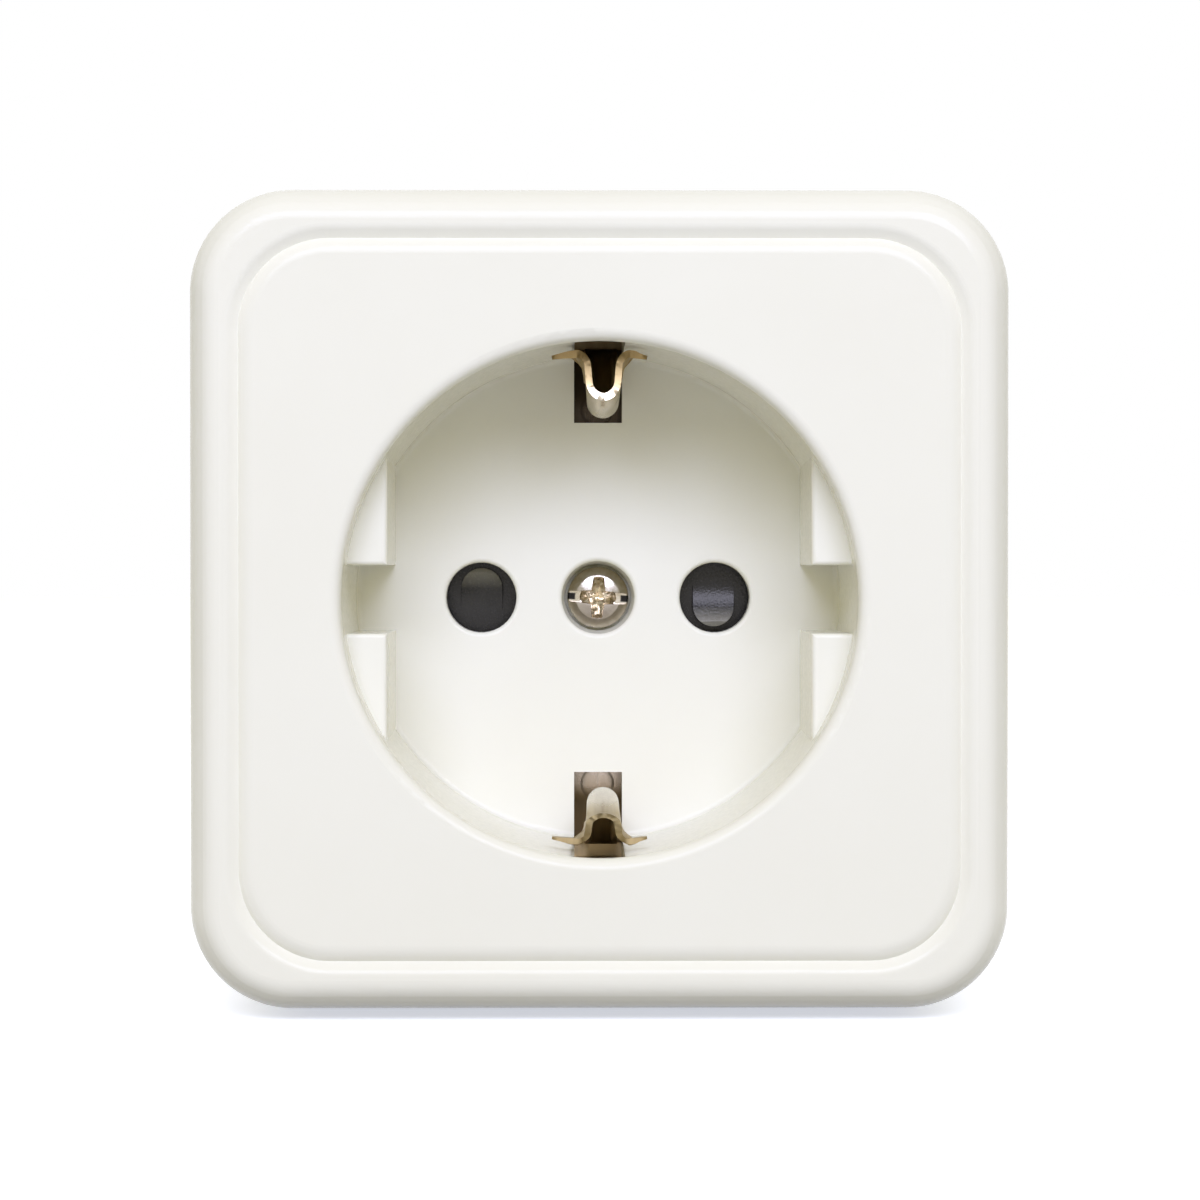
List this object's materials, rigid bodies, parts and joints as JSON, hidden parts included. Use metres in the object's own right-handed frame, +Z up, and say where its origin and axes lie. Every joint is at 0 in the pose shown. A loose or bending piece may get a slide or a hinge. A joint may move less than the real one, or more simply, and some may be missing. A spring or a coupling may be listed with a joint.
{
  "type": "wall socket",
  "caption": "Square surface-mounted wall socket with a framed front, a round plug recess, sprung earth clips, shuttered pin holes and a central cover screw.",
  "frame": {"origin": "middle of the back, on the wall", "axes": "+Z up, front looks along -Y, wall plane y = 0, +X to the right seen from the front"},
  "size_m": [0.065, 0.04, 0.065],
  "materials": {
    "cover_plastic": "satin gloss",
    "base_plastic": "matt",
    "shutter_plastic": "matt",
    "plate_plastic": "matt",
    "nickel": "nickel plated",
    "brass": "bare",
    "steel": "zinc plated"
  },
  "bodies": {
    "housing": {"front_cover": "cover_plastic", "base_plate": "base_plastic", "shutter_plate": "plate_plastic", "cover_screw": "nickel", "earth_clip_upper": "nickel", "earth_clip_lower": "nickel", "earth_clip_rivets": "nickel", "earth_bridge": "brass", "earth_pillar": "brass", "earth_link": "brass", "line_contact": "brass", "neutral_contact": "brass", "contact_rivets": "brass", "line_clamp": "steel", "neutral_clamp": "steel", "earth_clamp": "steel", "line_terminal_screw": "steel", "neutral_terminal_screw": "steel", "earth_terminal_screw": "steel", "shutter_spring": "steel", "shutter_plate_screws": "steel"},
    "shutter": {"shutter_rotor": "shutter_plastic"}
  },
  "joints": [
    {"name": "shutter_turn", "type": "hinge", "parent": "housing", "child": "shutter", "pos_m": [0, -0.0182, 0], "axis": [0, 1, 0], "range_deg": [0, 40], "stiffness_Nm_per_rad": 0.002, "springref_deg": -20.05, "deforming": ["shutter_spring"]}
  ]
}
